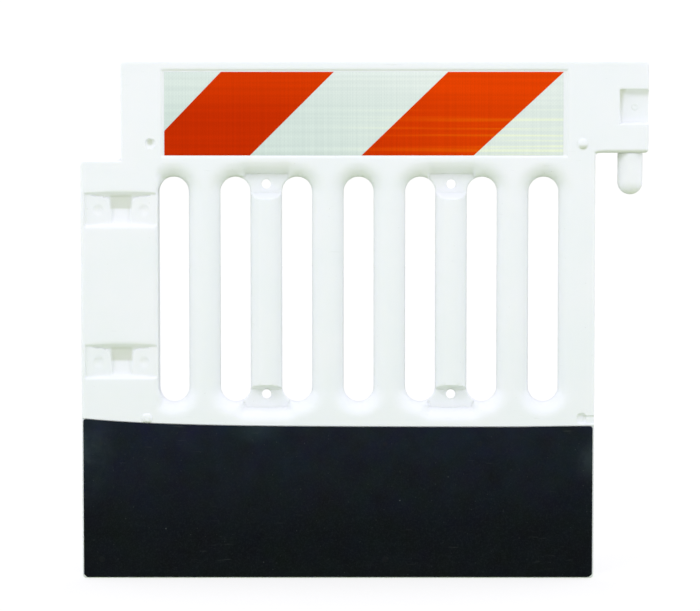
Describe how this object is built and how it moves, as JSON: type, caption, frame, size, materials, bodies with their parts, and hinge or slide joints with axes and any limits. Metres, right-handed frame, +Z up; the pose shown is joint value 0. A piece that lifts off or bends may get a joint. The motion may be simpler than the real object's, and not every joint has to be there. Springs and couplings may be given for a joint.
{
  "type": "pedestrian barrier panel",
  "caption": "Free-standing hollow plastic barrier panel with slots, a striped reflective rail, black kick plates, and a hinge pin and socket that link it to the next panel.",
  "frame": {"origin": "centre of the panel's bounding box on the ground", "axes": "+X along the panel towards the pin, -Y out of the front face, +Z up"},
  "size_m": [1.092, 0.066, 1],
  "materials": {
    "shell_white": "moulded white polyethylene with a soft sheen",
    "pin_white": "moulded white polyethylene",
    "rivet_white": "white nylon tubular rivet",
    "film_silver": "silver-white retroreflective film",
    "film_orange": "orange retroreflective film",
    "kick_black": "black sheet with a faint grain and dust",
    "rivet_black": "black painted blind rivet"
  },
  "bodies": {
    "root": {"front_shell": "shell_white", "back_shell": "shell_white", "interlock_pin": "pin_white", "pin_rivet": "rivet_white", "front_sheeting": "film_silver", "front_stripe_left": "film_orange", "front_stripe_right": "film_orange", "back_sheeting": "film_silver", "back_stripe_left": "film_orange", "back_stripe_right": "film_orange", "front_kick_plate": "kick_black", "back_kick_plate": "kick_black", "front_kick_rivets": "rivet_black", "back_kick_rivets": "rivet_black"}
  },
  "joints": []
}
